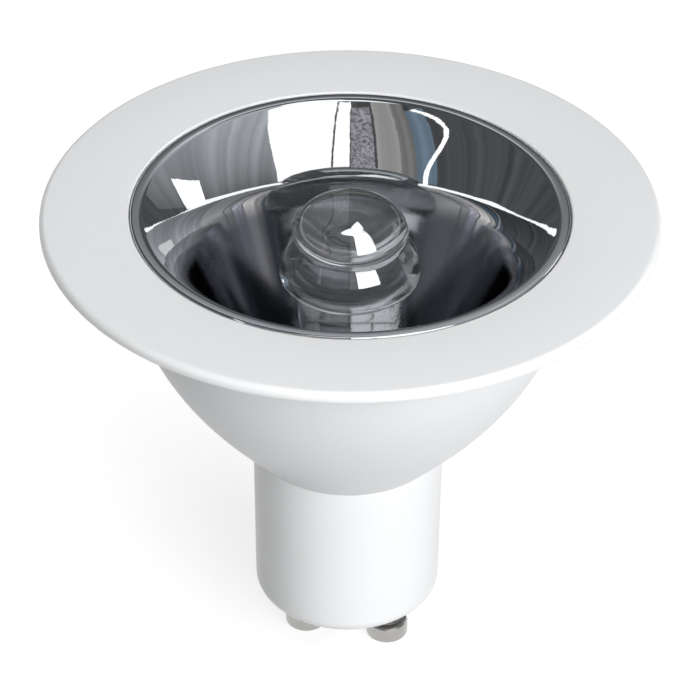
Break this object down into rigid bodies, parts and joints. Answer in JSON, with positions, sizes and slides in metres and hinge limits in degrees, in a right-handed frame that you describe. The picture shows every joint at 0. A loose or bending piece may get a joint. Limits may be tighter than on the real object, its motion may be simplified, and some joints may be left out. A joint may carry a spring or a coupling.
{
  "type": "led reflector lamp",
  "caption": "Reflector lamp with a wide flat white ring, a mirror bowl round a clear bubble lens, a white bowl and a round two-pin twist-lock cap.",
  "frame": {"origin": "centre of the cap's flat end face, where the lamp seats in its lampholder", "axes": "+Z along the lamp's axis, the way the light leaves; the two pins stand on the X axis and point along -Z"},
  "size_m": [0.07, 0.07, 0.062],
  "materials": {
    "ring_white": "smooth satin moulded white",
    "bowl_white": "smooth satin moulded white",
    "cap_white": "smooth satin moulded white",
    "mirror_metal": "metallised mirror",
    "clear_lens": "clear polished",
    "pin_metal": "nickel plated",
    "cup_aluminium": "bare pressed",
    "pad_grey": "soft matt",
    "led_board_white": "white solder mask",
    "ceramic": "matt ceramic",
    "phosphor": "silicone with phosphor",
    "screw_steel": "zinc plated",
    "board_green": "green solder mask",
    "ferrite": "sintered matt",
    "bobbin_black": "moulded",
    "winding_tape": "yellow polyester tape",
    "can_sleeve": "shrunk sleeve",
    "resistor_coat": "lacquered",
    "chip_black": "moulded epoxy",
    "chip_tan": "ceramic",
    "lead_white": "insulated wire",
    "lead_black": "insulated wire",
    "lead_red": "insulated wire"
  },
  "bodies": {
    "root": {"front_ring": "ring_white", "housing": "bowl_white", "cap_shell": "cap_white", "reflector": "mirror_metal", "lens": "clear_lens", "contact_pin_left": "pin_metal", "contact_pin_right": "pin_metal", "heat_cup": "cup_aluminium", "thermal_pad": "pad_grey", "led_board": "led_board_white", "led_package": "ceramic", "led_dome": "phosphor", "board_screws": "screw_steel", "driver_board": "board_green", "transformer_core": "ferrite", "transformer_bobbin": "bobbin_black", "transformer_winding": "winding_tape", "input_capacitor": "can_sleeve", "output_capacitor": "can_sleeve", "fuse_resistor": "resistor_coat", "bridge_rectifier": "chip_black", "control_chip": "chip_black", "chip_parts": "chip_tan", "mains_lead_left": "lead_white", "mains_lead_right": "lead_white", "led_lead_negative": "lead_black", "led_lead_positive": "lead_red"}
  },
  "joints": []
}
